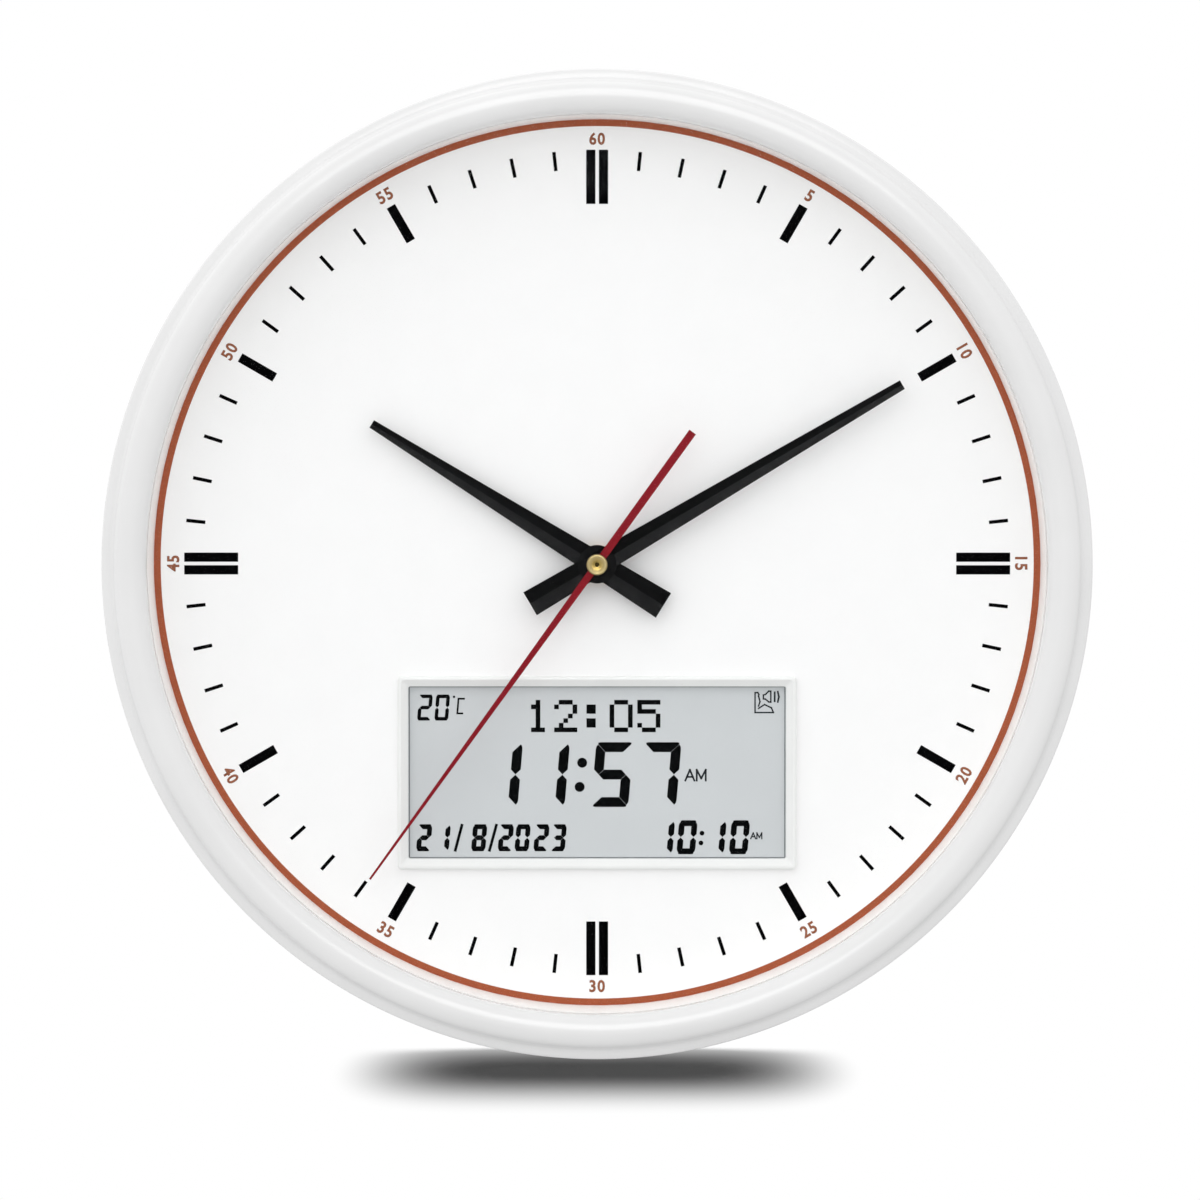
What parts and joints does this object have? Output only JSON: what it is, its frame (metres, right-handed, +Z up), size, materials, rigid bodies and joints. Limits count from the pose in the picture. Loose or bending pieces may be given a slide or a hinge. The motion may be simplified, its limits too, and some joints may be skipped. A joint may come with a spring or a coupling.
{
  "type": "wall clock",
  "caption": "Round white wall clock with black baton marks, creased hands, red second hand and a calendar display window below the centre.",
  "frame": {"origin": "middle of the keyhole's round entry, on the rear face of the hanger plate", "axes": "+Z up, towards twelve; -Y out of the wall, towards the viewer; +X to the viewer's right"},
  "size_m": [0.33, 0.048, 0.33],
  "materials": {
    "frame_white": "gloss moulded white",
    "clear_glass": "clear polished",
    "spacer_white": "gloss white",
    "dial_white": "satin white lacquer",
    "housing_white": "fine-textured off-white",
    "screw_steel": "zinc plated",
    "plate_steel": "zinc plated sheet",
    "cell_can": "printed sleeve, plain",
    "contact_nickel": "nickel plated",
    "display_rim_white": "gloss moulded white",
    "display_grey": "satin grey polariser",
    "reflector_foil": "matt foil",
    "strip_rubber": "striped elastomer",
    "carrier_plastic": "moulded dark grey",
    "board_green": "solder mask",
    "chip_resin": "poured resin",
    "can_steel": "drawn can",
    "sleeve_dark": "shrink sleeve",
    "sensor_bead": "resin bead",
    "switch_black": "moulded black",
    "basket_black": "black lacquer",
    "cone_paper": "pressed paper",
    "magnet_ferrite": "sintered ferrite",
    "movement_black": "moulded black",
    "train_plate_brown": "moulded brown",
    "stator_iron": "stamped soft iron",
    "coil_copper": "enamelled copper",
    "wheel_plastic": "moulded acetal",
    "knob_white": "moulded white",
    "gasket_rubber": "smooth",
    "nut_brass": "turned",
    "hand_black": "gloss black lacquer",
    "hand_red": "gloss red lacquer",
    "boss_brass": "turned and polished",
    "button_grey": "moulded grey"
  },
  "bodies": {
    "clock_case": {"front_frame": "frame_white", "front_glass": "clear_glass", "dial_spacer_ring": "spacer_white", "dial_plate": "dial_white", "rear_housing": "housing_white", "housing_screws": "screw_steel", "hanger_screws": "screw_steel", "module_screws": "screw_steel", "key_board_screws": "screw_steel", "speaker_screws": "screw_steel", "hanger_plate": "plate_steel", "display_batteries": "cell_can", "movement_battery": "cell_can", "battery_springs": "contact_nickel", "battery_contact_plates": "contact_nickel", "movement_contacts": "contact_nickel", "display_bezel": "display_rim_white", "lcd_panel": "display_grey", "lcd_reflector": "reflector_foil", "zebra_strips": "strip_rubber", "display_carrier": "carrier_plastic", "main_circuit_board": "board_green", "key_circuit_board": "board_green", "movement_circuit_board": "board_green", "controller_chip": "chip_resin", "module_crystal": "can_steel", "filter_capacitor": "sleeve_dark", "temperature_sensor": "sensor_bead", "tact_switches": "switch_black", "speaker_basket": "basket_black", "speaker_cone": "cone_paper", "speaker_magnet": "magnet_ferrite", "movement_front_case": "movement_black", "movement_back_case": "movement_black", "movement_train_plate": "train_plate_brown", "stator": "stator_iron", "coil": "coil_copper", "rubber_gasket": "gasket_rubber", "mount_washer": "nut_brass", "mount_nut": "nut_brass"},
    "second_hand_group": {"second_hand": "hand_red", "second_hand_boss": "boss_brass", "second_arbor": "wheel_plastic"},
    "minute_hand_group": {"minute_hand": "hand_black", "minute_pipe": "wheel_plastic"},
    "hour_hand_group": {"hour_hand": "hand_black", "hour_wheel": "wheel_plastic"},
    "fifth_wheel_group": {"fifth_wheel": "wheel_plastic"},
    "rotor_group": {"rotor": "wheel_plastic"},
    "third_wheel_group": {"third_wheel": "wheel_plastic"},
    "centre_wheel_group": {"centre_wheel": "wheel_plastic"},
    "minute_wheel_group": {"minute_wheel": "wheel_plastic"},
    "set_knob_group": {"set_knob": "knob_white"},
    "battery_door_group": {"battery_door": "housing_white"},
    "button_mode_group": {"button_mode": "button_grey"},
    "button_set_group": {"button_set": "button_grey"},
    "button_up_group": {"button_up": "button_grey"},
    "button_down_group": {"button_down": "button_grey"},
    "button_sound_group": {"button_sound": "button_grey"}
  },
  "joints": [
    {"name": "second_hand_spin", "type": "hinge", "parent": "clock_case", "child": "second_hand_group", "pos_m": [0, -0.017, -0.123], "axis": [0, 1, 0], "continuous": true},
    {"name": "minute_hand_spin", "type": "hinge", "parent": "clock_case", "child": "minute_hand_group", "pos_m": [0, -0.017, -0.123], "axis": [0, 1, 0], "continuous": true},
    {"name": "hour_hand_spin", "type": "hinge", "parent": "clock_case", "child": "hour_hand_group", "pos_m": [0, -0.017, -0.123], "axis": [0, 1, 0], "continuous": true},
    {"name": "fifth_wheel_spin", "type": "hinge", "parent": "clock_case", "child": "fifth_wheel_group", "pos_m": [0.00614, -0.017, -0.1187], "axis": [0, 1, 0], "continuous": true},
    {"name": "rotor_spin", "type": "hinge", "parent": "clock_case", "child": "rotor_group", "pos_m": [0.00854, -0.017, -0.11212], "axis": [0, 1, 0], "continuous": true},
    {"name": "third_wheel_spin", "type": "hinge", "parent": "clock_case", "child": "third_wheel_group", "pos_m": [-0.00816, -0.017, -0.1192], "axis": [0, 1, 0], "continuous": true},
    {"name": "centre_wheel_spin", "type": "hinge", "parent": "clock_case", "child": "centre_wheel_group", "pos_m": [0, -0.017, -0.123], "axis": [0, 1, 0], "continuous": true},
    {"name": "minute_wheel_spin", "type": "hinge", "parent": "clock_case", "child": "minute_wheel_group", "pos_m": [0.00827, -0.017, -0.12154], "axis": [0, 1, 0], "continuous": true},
    {"name": "set_knob_spin", "type": "hinge", "parent": "clock_case", "child": "set_knob_group", "pos_m": [0.01595, -0.017, -0.11812], "axis": [0, 1, 0], "continuous": true},
    {"name": "battery_door_lift", "type": "slide", "parent": "clock_case", "child": "battery_door_group", "axis": [0, 1, 0], "range_m": [0, 0.025]},
    {"name": "button_mode_press", "type": "slide", "parent": "clock_case", "child": "button_mode_group", "axis": [0, -1, 0], "range_m": [0, 0.0005], "stiffness_N_per_m": 600, "springref_m": -0.0004},
    {"name": "button_set_press", "type": "slide", "parent": "clock_case", "child": "button_set_group", "axis": [0, -1, 0], "range_m": [0, 0.0005], "stiffness_N_per_m": 600, "springref_m": -0.0004},
    {"name": "button_up_press", "type": "slide", "parent": "clock_case", "child": "button_up_group", "axis": [0, -1, 0], "range_m": [0, 0.0005], "stiffness_N_per_m": 600, "springref_m": -0.0004},
    {"name": "button_down_press", "type": "slide", "parent": "clock_case", "child": "button_down_group", "axis": [0, -1, 0], "range_m": [0, 0.0005], "stiffness_N_per_m": 600, "springref_m": -0.0004},
    {"name": "button_sound_press", "type": "slide", "parent": "clock_case", "child": "button_sound_group", "axis": [0, -1, 0], "range_m": [0, 0.0005], "stiffness_N_per_m": 600, "springref_m": -0.0004}
  ],
  "couplings": [
    {"joint": "fifth_wheel_spin", "follows": "second_hand_spin", "ratio": -5},
    {"joint": "rotor_spin", "follows": "second_hand_spin", "ratio": 30},
    {"joint": "third_wheel_spin", "follows": "second_hand_spin", "ratio": -0.13333},
    {"joint": "centre_wheel_spin", "follows": "second_hand_spin", "ratio": 0.016667},
    {"joint": "minute_wheel_spin", "follows": "minute_hand_spin", "ratio": -0.33333},
    {"joint": "hour_hand_spin", "follows": "minute_hand_spin", "ratio": 0.083333},
    {"joint": "set_knob_spin", "follows": "minute_hand_spin", "ratio": 1}
  ]
}
